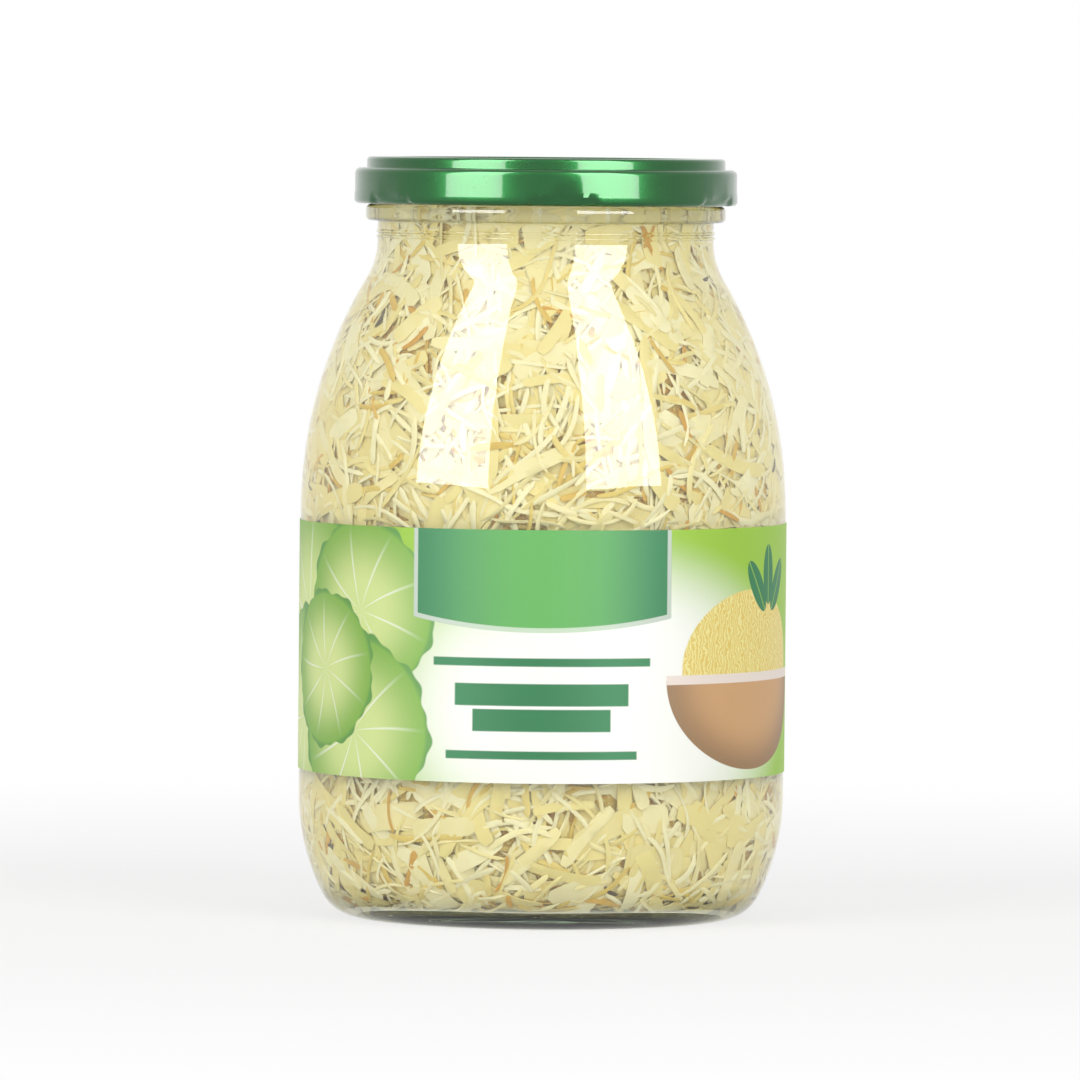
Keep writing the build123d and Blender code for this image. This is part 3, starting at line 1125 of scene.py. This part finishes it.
class JAR_OT_cabbage(bpy.types.Operator):
    """Packs the core and lays shreds, strips and seeds against the glass"""

    bl_idname = "jar.cabbage"
    bl_label = "Cabbage"

    def execute(self, context):
        sizes = context.scene.jar_shreds
        glass = context.scene.jar_glass
        colours = context.scene.jar_colours
        core = filling(
            "packed_core", glass, wall + sizes.core_depth, floor_height + sizes.core_depth,
            fill_top - sizes.core_depth,
        )
        finish_piece(core, core_material(colours))
        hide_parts("sauerkraut")
        draw = np.random.default_rng(sizes.seed)
        wall_line = Wall(glass)
        strips = {"fine": strip("fine", 4, 9, 0.4), "broad": strip("broad", 6, 9, 0.6)}
        self.seeds(wall_line, draw, strips["broad"], sizes, colours)
        for name, kind, number, tones, spread in KINDS:
            cuts = cuts_for(wall_line, draw, getattr(sizes, number), spread)
            piece = scatter(name, wall_line, *strips[kind], cuts)
            stops = [(place, getattr(colours, tone)) for place, tone in tones.items()]
            material = shred_material(name, stops, 0.35)
            finish_piece(piece, material, smooth=SCATTER_SMOOTH)
        return {"FINISHED"}

    def seeds(self, wall_line, draw, broad, sizes, colours):
        """Lays a few bent seeds against the glass."""
        shape, faces = broad
        shape = shape.copy()
        shape[:, 1:] *= np.sqrt(np.clip(1.02 - (2 * shape[:, :1]) ** 2, 0.02, 1))
        cuts = cuts_for(wall_line, draw, sizes.seed_count, SEEDS)
        piece = scatter("caraway_seeds", wall_line, shape, faces, cuts)
        finish_piece(piece, seed_material(colours), smooth=SCATTER_SMOOTH)


class JAR_OT_stage(bpy.types.Operator):
    """Sets the floor, the soft lamps and the camera"""

    bl_idname = "jar.stage"
    bl_label = "Stage"

    def execute(self, context):
        sizes = context.scene.jar_stage
        self.floor()
        self.world(context.scene, sizes)
        for side, start, end in (("left", -62.0, -26.0), ("right", 20.0, 57.0)):
            self.lamp(side, radians(start), radians(end), sizes)
        self.camera(context.scene, sizes)
        context.scene.view_settings.view_transform = "Standard"
        return {"FINISHED"}

    def floor(self):
        """A wide pale floor that shows a soft shadow."""
        deselect()
        bpy.ops.mesh.primitive_plane_add(size=FLOOR_WIDTH, location=(0, 0, 0))
        floor = bpy.context.object
        floor.name = "floor"
        tree = Tree("floor")
        seen = tree.rays("Camera", "Glossy", "Transmission")
        matt = tree.node("BsdfDiffuse", None, {"Color": (0.9, 0.9, 0.9)})
        white = tree.node("Emission", None, {"Color": (1, 1, 1), "Strength": 1.0})
        x, y, _ = tree.apart(tree.place())
        near = ((x * x + y * y) ** 0.5).edge(0.5, 0.12)
        sockets = {0: seen * (1.0 - near * 0.3), 1: matt, 2: white}
        floor.data.materials.append(tree.done(tree.node("MixShader", None, sockets)))

    def world(self, scene, sizes):
        """Even light from all round, and a white background."""
        tree = Tree("studio", bpy.data.worlds.new("studio"))
        seen = tree.rays("Camera", "Glossy", "Transmission")
        sockets = {"Value": seen, "To Min": sizes.fill_strength, "To Max": 1.0}
        strength = tree.node("MapRange", None, sockets)
        background = tree.node("Background", None, {"Color": (1, 1, 1), "Strength": strength})
        scene.world = tree.done(background, kind="World")

    def lamp(self, side, start, end, sizes):
        """A tall soft lamp between two bearings from the front, and the face that glass mirrors."""
        middle = (start + end) / 2
        width = 2 * LAMP_FAR * tan((end - start) / 2)
        height = LAMP_HIGH - LAMP_LOW
        place = (LAMP_FAR * sin(middle), -LAMP_FAR * cos(middle), (LAMP_LOW + LAMP_HIGH) / 2)
        turned = Euler((pi / 2, 0, middle)).to_matrix().to_4x4()
        placed = Matrix.Translation(place) @ turned
        light = bpy.data.lights.new("lamp_" + side, "AREA")
        light.shape = "RECTANGLE"
        light.size = width
        light.size_y = height
        light.energy = sizes.lamp_strength * pi * width * height
        lamp = bpy.data.objects.new("lamp_" + side, light)
        lamp.matrix_world = placed
        bpy.context.scene.collection.objects.link(lamp)
        for rays in ("glossy", "camera", "transmission"):
            setattr(lamp, "visible_" + rays, False)
        deselect()
        bpy.ops.mesh.primitive_plane_add(size=1)
        card = bpy.context.object
        card.name = "card_" + side
        card.data.transform(placed @ Matrix.Diagonal((width, height, 1, 1)))
        tree = Tree("card_" + side)
        glow = tree.node("Emission", None, {"Strength": sizes.card_strength})
        card.data.materials.append(tree.done(glow))
        for rays in ("camera", "diffuse", "shadow", "transmission"):
            setattr(card, "visible_" + rays, False)

    def camera(self, scene, sizes):
        """A long lens, a little above the jar's middle."""
        data = bpy.data.cameras.new("camera")
        data.lens = sizes.lens
        data.sensor_width = 36.0
        data.clip_start = 0.05
        data.clip_end = 50
        camera = bpy.data.objects.new("camera", data)
        place = Vector((0, -sizes.distance, sizes.camera_height))
        aim = Vector((-sizes.aim_side, 0, sizes.aim_height))
        look = (aim - place).to_track_quat("-Z", "Y").to_matrix().to_4x4()
        camera.matrix_world = Matrix.Translation(place) @ look @ Matrix.Rotation(sizes.roll, 4, "Z")
        scene.collection.objects.link(camera)
        scene.camera = camera


class JAR_PT_panel(bpy.types.Panel):
    """The jar's sizes and the steps that model it"""

    bl_idname = "JAR_PT_panel"
    bl_label = "Jar of Sauerkraut"
    bl_space_type = "VIEW_3D"
    bl_region_type = "UI"
    bl_category = "Jar"

    def draw(self, context):
        layout = self.layout
        for operator in OPERATORS:
            layout.operator(operator.bl_idname)
        for key, group in GROUPS.items():
            box = layout.box()
            for name in group.__annotations__:
                box.prop(getattr(context.scene, key), name)


GROUPS = {
    "jar_glass": JarGlassSizes,
    "jar_lid": JarLidSizes,
    "jar_label": JarLabelSizes,
    "jar_shreds": JarShredSizes,
    "jar_colours": JarColours,
    "jar_stage": JarStageSizes,
}
OPERATORS = (JAR_OT_stage, JAR_OT_glass, JAR_OT_lid, JAR_OT_label, JAR_OT_brine, JAR_OT_cabbage)
CLASSES = (*GROUPS.values(), *OPERATORS, JAR_PT_panel)


def register():
    for item in CLASSES:
        bpy.utils.register_class(item)
    for key, group in GROUPS.items():
        setattr(bpy.types.Scene, key, PointerProperty(type=group))


def unregister():
    for key in GROUPS:
        delattr(bpy.types.Scene, key)
    for item in reversed(CLASSES):
        bpy.utils.unregister_class(item)


def main():
    """Builds every piece."""
    register()
    bpy.ops.jar.stage()
    bpy.ops.jar.glass()
    bpy.ops.jar.lid()
    bpy.ops.jar.label()
    bpy.ops.jar.brine()
    bpy.ops.jar.cabbage()


if __name__ == "__main__":
    main()
